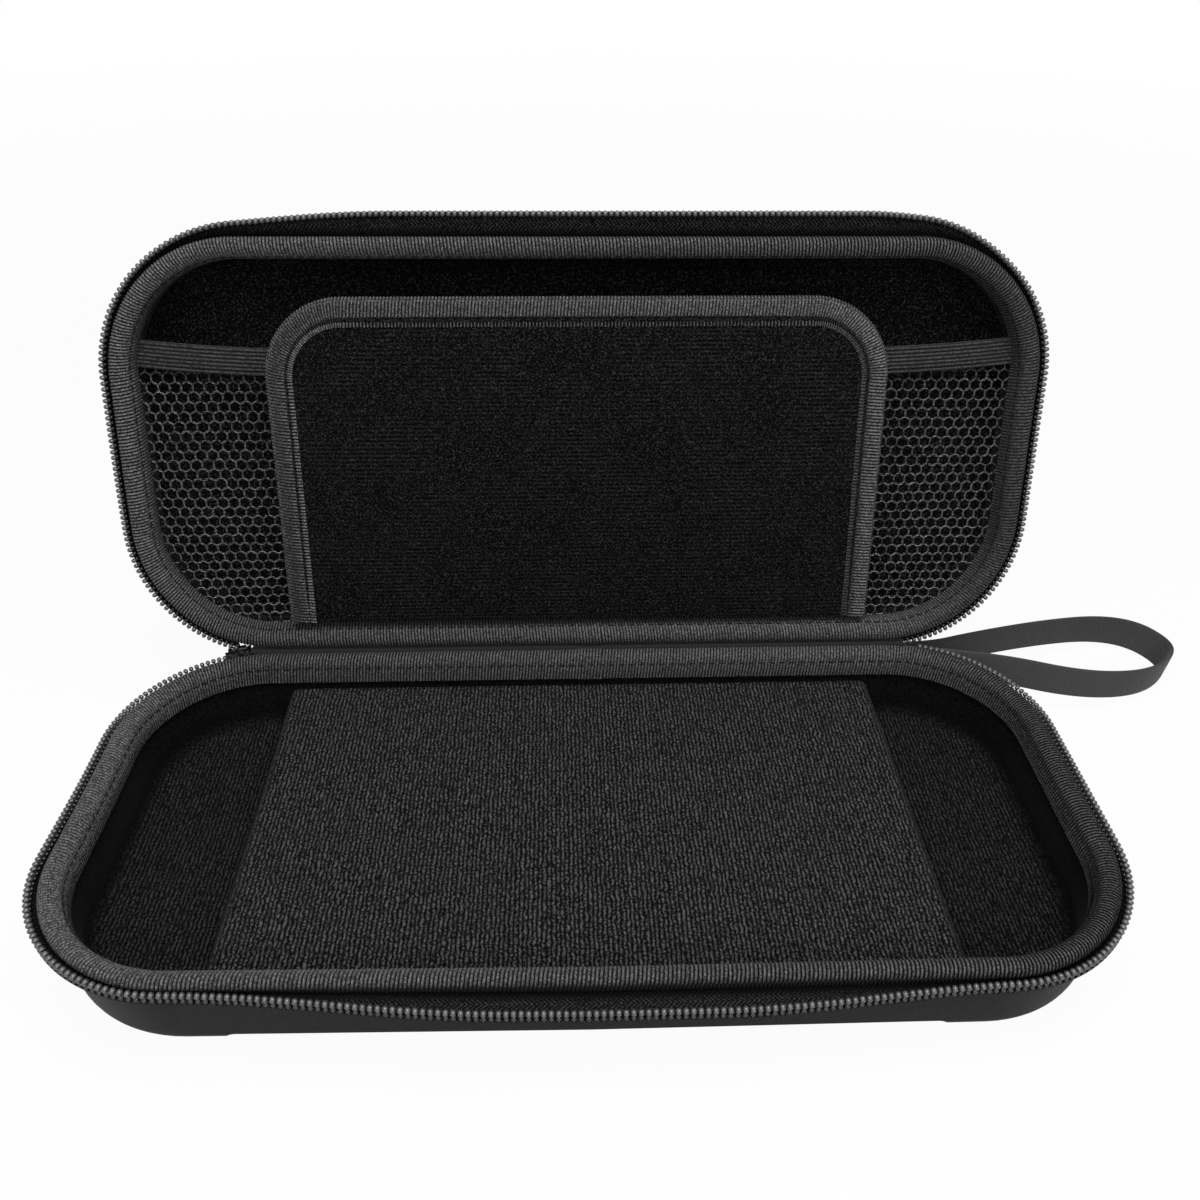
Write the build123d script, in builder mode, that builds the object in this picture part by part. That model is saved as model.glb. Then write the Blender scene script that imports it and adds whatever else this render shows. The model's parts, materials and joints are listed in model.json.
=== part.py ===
import math
import os

from build123d import *

os.makedirs("parts", exist_ok=True)

# Outline of both halves at the rim
case_width = 290.0
case_depth = 132.0
corner_r = 42.0
base_height = 30.0
lid_height = 23.0
open_angle = 103.87
base_y = -21.6

# Moulded walls
shell_wall = 4.0
rim_band = 10.0
wall_draft = 7.0
foot_round = 6.0
lid_round = 9.0
well_depth = 25.0
well_round = 5.0
plateau_depth = 12.5
plateau_half = 98.0
plateau_lean = 4.0
plateau_round = 3.0
arch_half = 95.0
arch_rise = 4.8
arch_lean = 3.0
lid_floor = 4.0
lid_inner_bevel = 3.5

# Bound edge
roll_cloth = 1.2
roll_bevel = 1.0
roll_crest = 2.6
slope_depth = 6.0
skirt_depth = 6.0
flange_depth = 9.0
rim_gap = 0.15
seat = 0.1

# Zip
coil_r = 1.0
coil_sides = 8
coil_depth = 3.2
zip_out = 2.0
zip_swell = 4.3
base_swell = (68.0, -10.0)
lid_swell = (85.0, -55.0)
base_ends = (18.0, 8.0)
lid_ends = (26.0, 26.0)
tape_thick = 0.7
tape_gap = 0.1
under_coil = 0.05

# Slider and pull
slider_start = 10.0
slider_turn = 12.0
slider_depth = 2.75
plate_in = 0.25
plate_thick = 0.4
plate_out = 3.4
cover_thick = 0.8
plate_half = 1.15
post_lift = 1.0
post_half = 0.15
bar_r = 0.5
bar_out = 1.9
bar_half = 3.2
ear_width = 1.2
ear_half = 0.7
barrel_r = 1.25
pull_gap = 0.3
pull_thick = 1.4
pull_length = 20.0
pull_top = 4.4
pull_foot = 6.4

# Fabric hinge
strip_short = 1.0
strip_to_strap = 2.0
strip_thick = 0.8
strip_gap = 0.3
strip_leg = 5.0
strip_fold = 1.0

# Padded flap in the lid
flap_width = 195.0
flap_gap = 2.2
tongue_gap = 0.6
tongue_thick = 1.0
flap_top = 114.6
flap_round = 25.0
flap_front = 2.2
flap_thick = 4.8
flap_edge = 8.7
flap_cloth = 0.6
flap_seat = 0.05

# Net pocket in the lid
net_depth = 9.1
net_thick = 0.7
net_top = 97.0
net_gap = 0.2
hole_pitch = 15.0
hole_r = 7.0
hole_rows = 6
hole_reach = 112.0
elastic_low = 93.0
elastic_high = 101.4
elastic_thick = 1.5

# Wrist strap
strap_width = 12.0
strap_thick = 1.2
strap_tilt = 7.8
strap_short = 4.0
strap_drop = 7.2
strap_ease = 0.45
strap_near = 0.8
strap_far = 2.2

tilt = math.radians(open_angle)
hinge_y = base_y + case_depth / 2
lid_mid_y = hinge_y - math.cos(tilt) * case_depth / 2
lid_mid_z = base_height + math.sin(tilt) * case_depth / 2
corner_x = case_width / 2 - corner_r
corner_v = case_depth / 2 - corner_r
shell_inset = roll_cloth + seat
shell_top = rim_gap + roll_cloth + seat
cave_inset = shell_inset + shell_wall
roll_width = cave_inset + shell_inset
flap_low = roll_width + flap_gap
slope_run = roll_width - roll_crest
slope_fall = slope_depth - rim_gap
slope_side = math.hypot(slope_run, slope_fall) / slope_fall
slope_angle = math.degrees(math.atan2(slope_run, slope_fall))
strap_root_x = corner_x - strap_short
strip_left = strip_short - corner_x
strip_right = strap_root_x - strip_to_strap

# Depth runs away from the rim on both planes, so the two halves share one set of sizes
base_down = Plane(origin=(0, base_y, base_height), x_dir=(1, 0, 0), z_dir=(0, 0, -1))
lid_down = Plane(
    origin=(0, lid_mid_y, lid_mid_z),
    x_dir=(1, 0, 0),
    z_dir=(0, math.sin(tilt), math.cos(tilt)),
)
lid_depth = Axis(lid_down.origin, lid_down.z_dir)
base_cut = Plane(origin=(0, base_y, base_height), x_dir=(1, 0, 0), z_dir=(0, -1, 0))
hinge_cut = Plane(origin=(strip_left, hinge_y, base_height), x_dir=(0, 1, 0), z_dir=(1, 0, 0))


def rim(inset):
    """A rounded outline that lies inset from the outer edge of the rim."""
    return RectangleRounded(case_width - 2 * inset, case_depth - 2 * inset, corner_r - inset)


def slope_inset(depth, behind):
    """How far in the tape's inner slope lies at a depth, on a parallel behind its face."""
    return roll_crest - behind * slope_side + (depth - rim_gap) * slope_run / slope_fall


def slope_foot(inset, behind):
    """The depth at which that parallel of the slope reaches an inset."""
    return rim_gap + (inset - roll_crest + behind * slope_side) * slope_fall / slope_run


def zip_course(out, face, ends, swell):
    """A parallel of the zip, out from the rim, from its right end round the free edge to its left."""
    r = corner_r + out
    free = corner_v + r
    crest = free + zip_swell
    right_mid = ((corner_x + swell[0]) / 2, face * (free + crest) / 2)
    left_mid = ((swell[1] - corner_x) / 2, face * (free + crest) / 2)
    right_half = math.hypot(corner_x - swell[0], zip_swell) / 4
    right_rise = right_half * math.tan(math.atan2(zip_swell, corner_x - swell[0]) / 2)
    left_half = math.hypot(corner_x + swell[1], zip_swell) / 4
    left_rise = left_half * math.tan(math.atan2(zip_swell, corner_x + swell[1]) / 2)
    CenterArc((corner_x, -face * corner_v), r, -face * (90 - ends[0]), face * (90 - ends[0]))
    Line((corner_x + r, -face * corner_v), (corner_x + r, face * corner_v))
    CenterArc((corner_x, face * corner_v), r, 0, face * 90)
    ThreePointArc(
        (corner_x, face * free),
        (corner_x - right_half, face * (free + right_rise)),
        right_mid,
    )
    ThreePointArc(
        right_mid,
        (swell[0] + right_half, face * (crest - right_rise)),
        (swell[0], face * crest),
    )
    Line((swell[0], face * crest), (swell[1], face * crest))
    ThreePointArc(
        (swell[1], face * crest),
        (swell[1] - left_half, face * (crest - left_rise)),
        left_mid,
    )
    ThreePointArc(
        left_mid,
        (left_half - corner_x, face * (free + left_rise)),
        (-corner_x, face * free),
    )
    CenterArc((-corner_x, face * corner_v), r, face * 90, face * 90)
    Line((-corner_x - r, face * corner_v), (-corner_x - r, -face * corner_v))
    CenterArc((-corner_x, -face * corner_v), r, 180, face * (90 - ends[1]))


def tape_corner(side, face, end):
    """The outer corner of the zip tape at the end beside the hinge, on one side of the case."""
    r = corner_r + zip_out + coil_r
    turn = math.radians(end)
    return (side * (corner_x + r * math.sin(turn)), -face * (corner_v + r * math.cos(turn)))


cloth_depth = rim_gap + roll_cloth
cloth_foot = slope_foot(roll_width - roll_cloth, roll_cloth)
cave_foot = slope_foot(cave_inset, shell_inset)

# Room inside the base: one shallow bed with a deeper well at each end
with BuildPart() as base_room:
    with BuildSketch(base_down.offset(shell_top)):
        rim(slope_inset(shell_top, shell_inset))
    extrude(amount=cave_foot - shell_top, taper=slope_angle)
    with BuildSketch(base_down.offset(cave_foot)):
        rim(cave_inset)
    extrude(amount=rim_band - cave_foot)
    with BuildSketch(base_down.offset(rim_band)):
        rim(cave_inset)
    extrude(amount=well_depth - rim_band, taper=wall_draft)
    fillet(base_room.faces().sort_by(Axis.Z)[0].edges(), well_round)
    with BuildSketch(base_cut):
        with BuildLine():
            Polyline(
                (-plateau_half, -plateau_depth),
                (plateau_half, -plateau_depth),
                (plateau_half + plateau_lean, -base_height),
                (-plateau_half - plateau_lean, -base_height),
                close=True,
            )
        bed = make_face()
        fillet(bed.vertices().group_by(Axis.Y)[-1], plateau_round)
    extrude(amount=case_depth, both=True, mode=Mode.SUBTRACT)

# Moulded base shell, its underside arched between the two feet
with BuildPart() as base_shell:
    with BuildSketch(base_down.offset(shell_top)):
        rim(shell_inset)
    extrude(amount=rim_band - shell_top)
    with BuildSketch(base_down.offset(rim_band)):
        rim(shell_inset)
    extrude(amount=base_height - rim_band, taper=wall_draft)
    fillet(base_shell.faces().sort_by(Axis.Z)[0].edges(), foot_round)
    with BuildSketch(base_cut):
        with BuildLine():
            Polyline(
                (-arch_half, -base_height - 1),
                (-arch_half + arch_lean, -base_height + arch_rise),
                (arch_half - arch_lean, -base_height + arch_rise),
                (arch_half, -base_height - 1),
                close=True,
            )
        arch = make_face()
        fillet(arch.vertices().group_by(Axis.Y)[-1], plateau_round)
    extrude(amount=case_depth, both=True, mode=Mode.SUBTRACT)
    add(base_room.part, mode=Mode.SUBTRACT)
base_shell.part.label = "base_shell"
export_step(base_shell.part, "parts/base_shell.step")

# Room for the edge of the base shell inside its binding
with BuildPart() as base_seat:
    with BuildSketch(base_down.offset(cloth_depth)):
        rim(roll_cloth)
    extrude(amount=flange_depth)
    with BuildSketch(base_down.offset(cloth_depth)):
        rim(slope_inset(cloth_depth, roll_cloth))
    extrude(amount=cloth_foot - cloth_depth, taper=slope_angle, mode=Mode.SUBTRACT)
    with BuildSketch(base_down.offset(cloth_foot)):
        rim(roll_width - roll_cloth)
    extrude(amount=flange_depth, mode=Mode.SUBTRACT)

# Ribbed tape folded over the base rim, sloping down to a flange inside
with BuildPart() as base_binding:
    with BuildSketch(base_down.offset(rim_gap)):
        rim(0)
    extrude(amount=flange_depth - rim_gap)
    with BuildSketch(base_down.offset(rim_gap)):
        rim(roll_crest)
    extrude(amount=slope_fall, taper=slope_angle, mode=Mode.SUBTRACT)
    with BuildSketch(base_down.offset(slope_depth)):
        rim(roll_width)
    extrude(amount=flange_depth, mode=Mode.SUBTRACT)
    chamfer(base_binding.faces().sort_by(Axis.Z)[-1].edges(), roll_bevel)
    add(base_seat.part, mode=Mode.SUBTRACT)
    with BuildSketch(base_down.offset(skirt_depth)):
        rim(-1)
        RectangleRounded(
            case_width - 2 * roll_cloth - 2,
            case_depth - 2 * roll_cloth - 2,
            corner_r - roll_cloth - 1,
            mode=Mode.SUBTRACT,
        )
    extrude(amount=flange_depth, mode=Mode.SUBTRACT)
base_binding.part.label = "base_binding"
export_step(base_binding.part, "parts/base_binding.step")

# Woven tape that carries the lower half of the zip
with BuildPart() as base_zip_tape:
    with BuildSketch(base_down.offset(coil_depth + coil_r + under_coil)):
        with BuildLine():
            zip_course(zip_out + coil_r, 1, base_ends, base_swell)
            Polyline(
                tape_corner(-1, 1, base_ends[1]),
                (-corner_x, -corner_v),
                (corner_x, -corner_v),
                tape_corner(1, 1, base_ends[0]),
            )
        make_face()
        RectangleRounded(
            case_width + 2 * tape_gap,
            case_depth + 2 * tape_gap,
            corner_r + tape_gap,
            mode=Mode.SUBTRACT,
        )
    extrude(amount=tape_thick)
base_zip_tape.part.label = "base_zip_tape"
export_step(base_zip_tape.part, "parts/base_zip_tape.step")

# Coil of the lower half of the zip
with BuildPart() as base_zip_coil:
    with BuildLine(base_down.offset(coil_depth)) as base_coil_line:
        zip_course(zip_out, 1, base_ends, base_swell)
    with BuildSketch(Plane(base_coil_line.wire() @ 0, z_dir=base_coil_line.wire() % 0)):
        RegularPolygon(coil_r, coil_sides)
    sweep(path=base_coil_line.wire())
base_zip_coil.part.label = "base_zip_coil"
export_step(base_zip_coil.part, "parts/base_zip_coil.step")

# Fabric hinge, folded into the wedge behind the two rims
with BuildPart() as hinge_strip:
    with BuildSketch(hinge_cut):
        with BuildLine():
            stand = strip_gap + strip_thick / 2
            lean = -tilt / 2
            along = stand * math.cos(lean) - strip_leg * math.sin(lean)
            FilletPolyline(
                (stand, -strip_leg),
                (stand, -stand * math.tan(tilt / 2)),
                (2 * along * math.cos(lean) - stand, 2 * along * math.sin(lean) + strip_leg),
                radius=strip_fold,
            )
        trace(line_width=strip_thick)
    extrude(amount=strip_right - strip_left)
hinge_strip.part.label = "hinge_strip"
export_step(hinge_strip.part, "parts/hinge_strip.step")

# Wrist strap, a loop of webbing standing on edge, its far end down on the table
strap_lean = math.radians(strap_tilt)
strap_plane = Plane(
    origin=(strap_root_x, hinge_y, base_height - strap_drop),
    x_dir=(math.cos(strap_lean), 0, -math.sin(strap_lean)),
    z_dir=(math.sin(strap_lean), 0, math.cos(strap_lean)),
)
strap_route = [
    (0.0, strap_far),
    (18.0, 3.4),
    (43.0, 14.8),
    (74.0, 26.8),
    (99.0, 33.8),
    (115.0, 31.5),
    (122.3, 18.5),
    (111.5, 6.5),
    (96.0, -0.8),
    (75.0, -3.0),
    (50.0, 1.8),
    (22.0, 2.0),
    (0.0, strap_near),
]
strap_radii = []
for before, bend, after in zip(strap_route, strap_route[1:], strap_route[2:]):
    run_in = Vector(*bend) - Vector(*before)
    run_out = Vector(*after) - Vector(*bend)
    turn = math.radians(run_in.get_angle(run_out))
    strap_radii.append(strap_ease * min(run_in.length, run_out.length) / math.tan(turn / 2))
print("strap radii", [round(radius, 1) for radius in strap_radii])
with BuildPart() as wrist_strap:
    with BuildSketch(strap_plane):
        with BuildLine():
            FilletPolyline(*strap_route, radius=strap_radii)
        trace(line_width=strap_thick)
    extrude(amount=strap_width / 2, both=True)
wrist_strap.part.label = "wrist_strap"
export_step(wrist_strap.part, "parts/wrist_strap.step")

# Room inside the lid
with BuildPart() as lid_room:
    with BuildSketch(lid_down.offset(shell_top)):
        rim(slope_inset(shell_top, shell_inset))
    extrude(amount=cave_foot - shell_top, taper=slope_angle)
    with BuildSketch(lid_down.offset(cave_foot)):
        rim(cave_inset)
    extrude(amount=rim_band - cave_foot)
    with BuildSketch(lid_down.offset(rim_band)):
        rim(cave_inset)
    extrude(amount=lid_height - lid_floor - rim_band, taper=wall_draft)
    chamfer(lid_room.faces().sort_by(lid_depth)[-1].edges(), lid_inner_bevel)

# Moulded lid shell
with BuildPart() as lid_shell:
    with BuildSketch(lid_down.offset(shell_top)):
        rim(shell_inset)
    extrude(amount=rim_band - shell_top)
    with BuildSketch(lid_down.offset(rim_band)):
        rim(shell_inset)
    extrude(amount=lid_height - rim_band, taper=wall_draft)
    fillet(lid_shell.faces().sort_by(lid_depth)[-1].edges(), lid_round)
    add(lid_room.part, mode=Mode.SUBTRACT)
lid_shell.part.label = "lid_shell"
export_step(lid_shell.part, "parts/lid_shell.step")

# Room for the edge of the lid shell inside its binding
with BuildPart() as lid_seat:
    with BuildSketch(lid_down.offset(cloth_depth)):
        rim(roll_cloth)
    extrude(amount=flange_depth)
    with BuildSketch(lid_down.offset(cloth_depth)):
        rim(slope_inset(cloth_depth, roll_cloth))
    extrude(amount=cloth_foot - cloth_depth, taper=slope_angle, mode=Mode.SUBTRACT)
    with BuildSketch(lid_down.offset(cloth_foot)):
        rim(roll_width - roll_cloth)
    extrude(amount=flange_depth, mode=Mode.SUBTRACT)

# Ribbed tape folded over the lid rim, sloping down to a flange inside
with BuildPart() as lid_binding:
    with BuildSketch(lid_down.offset(rim_gap)):
        rim(0)
    extrude(amount=flange_depth - rim_gap)
    with BuildSketch(lid_down.offset(rim_gap)):
        rim(roll_crest)
    extrude(amount=slope_fall, taper=slope_angle, mode=Mode.SUBTRACT)
    with BuildSketch(lid_down.offset(slope_depth)):
        rim(roll_width)
    extrude(amount=flange_depth, mode=Mode.SUBTRACT)
    chamfer(lid_binding.faces().sort_by(lid_depth)[0].edges(), roll_bevel)
    add(lid_seat.part, mode=Mode.SUBTRACT)
    with BuildSketch(lid_down.offset(skirt_depth)):
        rim(-1)
        RectangleRounded(
            case_width - 2 * roll_cloth - 2,
            case_depth - 2 * roll_cloth - 2,
            corner_r - roll_cloth - 1,
            mode=Mode.SUBTRACT,
        )
    extrude(amount=flange_depth, mode=Mode.SUBTRACT)
lid_binding.part.label = "lid_binding"
export_step(lid_binding.part, "parts/lid_binding.step")

# Woven tape that carries the upper half of the zip
with BuildPart() as lid_zip_tape:
    with BuildSketch(lid_down.offset(coil_depth + coil_r + under_coil)):
        with BuildLine():
            zip_course(zip_out + coil_r, -1, lid_ends, lid_swell)
            Polyline(
                tape_corner(-1, -1, lid_ends[1]),
                (-corner_x, corner_v),
                (corner_x, corner_v),
                tape_corner(1, -1, lid_ends[0]),
            )
        make_face()
        RectangleRounded(
            case_width + 2 * tape_gap,
            case_depth + 2 * tape_gap,
            corner_r + tape_gap,
            mode=Mode.SUBTRACT,
        )
    extrude(amount=tape_thick)
lid_zip_tape.part.label = "lid_zip_tape"
export_step(lid_zip_tape.part, "parts/lid_zip_tape.step")

# Coil of the upper half of the zip
with BuildPart() as lid_zip_coil:
    with BuildLine(lid_down.offset(coil_depth)) as lid_coil_line:
        zip_course(zip_out, -1, lid_ends, lid_swell)
    with BuildSketch(Plane(lid_coil_line.wire() @ 0, z_dir=lid_coil_line.wire() % 0)):
        RegularPolygon(coil_r, coil_sides)
    sweep(path=lid_coil_line.wire())
lid_zip_coil.part.label = "lid_zip_coil"
export_step(lid_zip_coil.part, "parts/lid_zip_coil.step")

# Net of the pocket, held under the inner edge of the lid binding
hole_rise = hole_pitch * math.sqrt(3) / 2
holes = []
for row in range(hole_rows):
    level = net_top - 2 * hole_r - row * hole_rise
    side = hole_reach - max(0.0, 48.0 - level) * 0.55
    for step in range(-9, 10):
        across = hole_pitch * (step + 0.5 * (row % 2))
        if abs(across) <= side:
            holes.append((across, case_depth / 2 - level))
with BuildPart() as mesh_pocket:
    with BuildSketch(lid_down.offset(net_depth)):
        rim(cave_inset + net_gap)
        with Locations((0, case_depth / 2 - net_top)):
            Rectangle(
                case_width,
                case_depth,
                align=(Align.CENTER, Align.MIN),
                mode=Mode.INTERSECT,
            )
        with Locations(*holes):
            RegularPolygon(hole_r, 6, rotation=30, mode=Mode.SUBTRACT)
    extrude(amount=net_thick)
mesh_pocket.part.label = "mesh_pocket"
export_step(mesh_pocket.part, "parts/mesh_pocket.step")

# Elastic along the mouth of the pocket
with BuildPart() as pocket_elastic:
    with BuildSketch(lid_down.offset(net_depth - under_coil - elastic_thick)):
        rim(roll_width + net_gap)
        with Locations((0, case_depth / 2 - (elastic_low + elastic_high) / 2)):
            Rectangle(case_width, elastic_high - elastic_low, mode=Mode.INTERSECT)
    extrude(amount=elastic_thick)
pocket_elastic.part.label = "pocket_elastic"
export_step(pocket_elastic.part, "parts/pocket_elastic.step")

# Padded sheet of the flap, with the tongue that is sewn to the lid's lower flange
flap_height = flap_top - flap_low
pad_inset = flap_cloth + flap_seat
with BuildPart() as flap_pad:
    with BuildSketch(lid_down.offset(flap_front + pad_inset)):
        with Locations((0, case_depth / 2 - flap_low)):
            pad = Rectangle(
                flap_width - 2 * pad_inset,
                flap_height - pad_inset,
                align=(Align.CENTER, Align.MAX),
            )
        fillet(pad.vertices().group_by(Axis.Y)[0], flap_round - pad_inset)
    extrude(amount=flap_thick - 2 * pad_inset)
    with BuildSketch(lid_down.offset(flap_front + flap_thick - pad_inset - tongue_thick)):
        with Locations((0, case_depth / 2 - roll_width - tongue_gap)):
            Rectangle(
                flap_width - 2 * pad_inset,
                flap_gap - tongue_gap,
                align=(Align.CENTER, Align.MAX),
            )
    extrude(amount=tongue_thick)
flap_pad.part.label = "flap_pad"
export_step(flap_pad.part, "parts/flap_pad.step")

# Tape folded over the three free edges of the flap
with BuildPart() as flap_binding:
    with BuildSketch(lid_down.offset(flap_front)):
        with Locations((0, case_depth / 2 - flap_low)):
            outer = Rectangle(flap_width, flap_height, align=(Align.CENTER, Align.MAX))
        fillet(outer.vertices().group_by(Axis.Y)[0], flap_round)
    extrude(amount=flap_thick)
    with BuildSketch(lid_down.offset(flap_front)):
        with Locations((0, case_depth / 2 - flap_low)):
            window = Rectangle(
                flap_width - 2 * flap_edge,
                flap_height - flap_edge,
                align=(Align.CENTER, Align.MAX),
            )
        fillet(window.vertices().group_by(Axis.Y)[0], flap_round - flap_edge)
    extrude(amount=flap_thick, mode=Mode.SUBTRACT)
    with BuildSketch(lid_down.offset(flap_front + flap_cloth)):
        with Locations((0, case_depth / 2 - flap_low)):
            slot = Rectangle(
                flap_width - 2 * flap_cloth,
                flap_height - flap_cloth,
                align=(Align.CENTER, Align.MAX),
            )
        fillet(slot.vertices().group_by(Axis.Y)[0], flap_round - flap_cloth)
    extrude(amount=flap_thick - 2 * flap_cloth, mode=Mode.SUBTRACT)
flap_binding.part.label = "flap_binding"
export_step(flap_binding.part, "parts/flap_binding.step")

# Slider at the left end of the zip, two curved plates on a thin post
slider_mid = math.radians(slider_start + slider_turn / 2)
cover_r = corner_r + plate_out + cover_thick
slider_face = Plane(
    origin=(
        -corner_x - cover_r * math.sin(slider_mid),
        base_y + corner_v + cover_r * math.cos(slider_mid),
        base_height - slider_depth,
    ),
    x_dir=(-math.cos(slider_mid), -math.sin(slider_mid), 0),
    z_dir=(-math.sin(slider_mid), math.cos(slider_mid), 0),
)
slider_mid_plane = Plane(
    origin=(-corner_x, base_y + corner_v, base_height - slider_depth),
    x_dir=(1, 0, 0),
    z_dir=(0, 0, 1),
)
with BuildPart() as zip_slider:
    for near, thick, lift, half in (
        (corner_r + plate_in, plate_thick, 0, plate_half),
        (corner_r + plate_in, plate_out + cover_thick - plate_in, post_lift, post_half),
        (corner_r + plate_out, cover_thick, 0, plate_half),
    ):
        with BuildSketch(slider_mid_plane.offset(lift)):
            with BuildLine():
                arc_in = CenterArc((0, 0), near, 90 + slider_start, slider_turn)
                arc_out = CenterArc((0, 0), near + thick, 90 + slider_start, slider_turn)
                Line(arc_in @ 0, arc_out @ 0)
                Line(arc_in @ 1, arc_out @ 1)
            make_face()
        extrude(amount=half, both=True)
    with BuildSketch(slider_face.offset(-cover_thick / 2)):
        with Locations((-bar_half, 0), (bar_half, 0)):
            Rectangle(ear_width, 2 * ear_half)
    extrude(amount=cover_thick / 2 + bar_out + bar_r)
    with BuildSketch(Plane(slider_face.from_local_coords((-bar_half, 0, bar_out)), z_dir=slider_face.x_dir)):
        Circle(bar_r)
    extrude(amount=2 * bar_half)
zip_slider.part.label = "zip_slider"
export_step(zip_slider.part, "parts/zip_slider.step")

# Pull tab hanging from the slider's bar
barrel_half = bar_half - ear_width / 2 - pull_gap
with BuildPart() as zip_pull:
    with BuildSketch(slider_face.offset(bar_out - pull_thick / 2)):
        with BuildLine():
            Polyline(
                (-pull_top / 2, -bar_r),
                (pull_top / 2, -bar_r),
                (pull_foot / 2, -pull_length),
                (-pull_foot / 2, -pull_length),
                close=True,
            )
        tab = make_face()
        fillet(tab.vertices().group_by(Axis.Y)[0], pull_foot / 2 - 0.4)
    extrude(amount=pull_thick)
    with BuildSketch(Plane(slider_face.from_local_coords((-barrel_half, 0, bar_out)), z_dir=slider_face.x_dir)):
        Circle(barrel_r)
    extrude(amount=2 * barrel_half)
    with BuildSketch(Plane(slider_face.from_local_coords((-bar_half, 0, bar_out)), z_dir=slider_face.x_dir)):
        Circle(bar_r + pull_gap)
    extrude(amount=2 * bar_half, mode=Mode.SUBTRACT)
zip_pull.part.label = "zip_pull"
export_step(zip_pull.part, "parts/zip_pull.step")
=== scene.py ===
import itertools
import json
import math

import bmesh
import bpy
from mathutils import Matrix, Vector, noise


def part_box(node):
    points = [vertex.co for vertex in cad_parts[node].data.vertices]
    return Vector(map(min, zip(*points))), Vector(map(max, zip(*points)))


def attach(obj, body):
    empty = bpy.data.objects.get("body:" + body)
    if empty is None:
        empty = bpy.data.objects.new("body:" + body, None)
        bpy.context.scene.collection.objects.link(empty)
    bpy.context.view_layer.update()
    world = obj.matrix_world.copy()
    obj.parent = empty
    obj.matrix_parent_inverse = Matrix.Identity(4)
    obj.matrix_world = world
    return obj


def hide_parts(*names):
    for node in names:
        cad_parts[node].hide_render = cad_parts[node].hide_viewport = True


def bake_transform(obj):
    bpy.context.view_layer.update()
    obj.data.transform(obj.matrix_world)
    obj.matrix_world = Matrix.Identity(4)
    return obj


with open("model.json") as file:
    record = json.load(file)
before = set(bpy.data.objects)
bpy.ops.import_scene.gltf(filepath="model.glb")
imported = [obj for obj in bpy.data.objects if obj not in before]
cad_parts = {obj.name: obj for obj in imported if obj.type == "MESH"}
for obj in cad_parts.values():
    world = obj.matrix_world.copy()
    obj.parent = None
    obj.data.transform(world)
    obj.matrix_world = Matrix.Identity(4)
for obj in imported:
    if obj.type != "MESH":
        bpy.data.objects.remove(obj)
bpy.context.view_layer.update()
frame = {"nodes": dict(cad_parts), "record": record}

# The view looks down on the open case from in front, through a moderate lens.
# The case stands on its own two feet, its lid leaning a little past upright on the fabric hinge.
rim_low, rim_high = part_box("base_binding")
base_middle = (rim_low[1] + rim_high[1]) / 2
camera_data = bpy.data.cameras.new("camera")
camera_data.sensor_width = 36.0
camera_data.lens = 32.83
camera = bpy.data.objects.new("camera", camera_data)
camera_yaw = Matrix.Rotation(math.radians(-2.35), 3, "Z")
camera_dip = Matrix.Rotation(math.radians(90 - 35.244), 3, "X")
camera_roll = Matrix.Rotation(math.radians(0.664), 3, "Z")
camera.location = (-0.00589, base_middle - 0.22876, 0.25743)
camera.rotation_euler = (camera_yaw @ camera_dip @ camera_roll).to_euler()
bpy.context.collection.objects.link(camera)
bpy.context.scene.camera = camera
bpy.context.scene.view_settings.view_transform = "Standard"

# The wrist strap is a loop of plain woven webbing, both ends caught in the right end of the hinge.
# It stands on edge and slopes down until the far end of the loop lies on the table.
hinge_joint = next(j for j in frame["record"]["behaviour"]["joints"] if j["name"] == "lid_hinge")
hinge_y, hinge_z = hinge_joint["pos_m"][1:]
strap_width = 0.012
strap_half_thick = 0.0006
strap_lean = math.radians(7.8)
strap_root = Vector((0.099, hinge_y, hinge_z - 0.0072))
strap_along = Vector((math.cos(strap_lean), 0, -math.sin(strap_lean)))
strap_back = Vector((0, 1, 0))
strap_up = strap_along.cross(strap_back)
strap_route = [
    (0.0, 0.0022),
    (0.018, 0.0034),
    (0.043, 0.0148),
    (0.074, 0.0268),
    (0.099, 0.0338),
    (0.115, 0.0315),
    (0.1223, 0.0185),
    (0.1115, 0.0065),
    (0.096, -0.0008),
    (0.075, -0.003),
    (0.05, 0.0018),
    (0.022, 0.002),
    (0.0, 0.0008),
]


def put(tree, kind, inputs, **settings):
    """Adds a shader node, its inputs given as plain values or as other nodes' outputs."""
    node = tree.nodes.new("ShaderNode" + kind)
    for name, value in settings.items():
        setattr(node, name, value)
    for name, value in inputs.items():
        if isinstance(value, bpy.types.NodeSocket):
            tree.links.new(value, node.inputs[name])
        else:
            node.inputs[name].default_value = value
    return node


def reckon(tree, operation, *terms):
    """One sum on values that change over the surface."""
    return put(tree, "Math", dict(enumerate(terms)), operation=operation).outputs[0]


def grey(level):
    """A neutral colour of that strength."""
    return (level, level, level * 1.03, 1.0)


def between(tree, share, dark, light):
    """Two greys mixed by a share that changes over the surface."""
    return put(tree, "Mix", {0: share, 6: grey(dark), 7: grey(light)}, data_type="RGBA").outputs[2]


def new_group(name, inputs, outputs):
    """An empty node group with its sockets, and its two end nodes."""
    group = bpy.data.node_groups.new(name, "ShaderNodeTree")
    for socket, kind in inputs.items():
        group.interface.new_socket(socket, in_out="INPUT", socket_type="NodeSocket" + kind)
    for socket in outputs:
        group.interface.new_socket(socket, in_out="OUTPUT", socket_type="NodeSocketFloat")
    start = group.nodes.new("NodeGroupInput")
    end = group.nodes.new("NodeGroupOutput")
    return group, start.outputs, end.inputs


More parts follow.
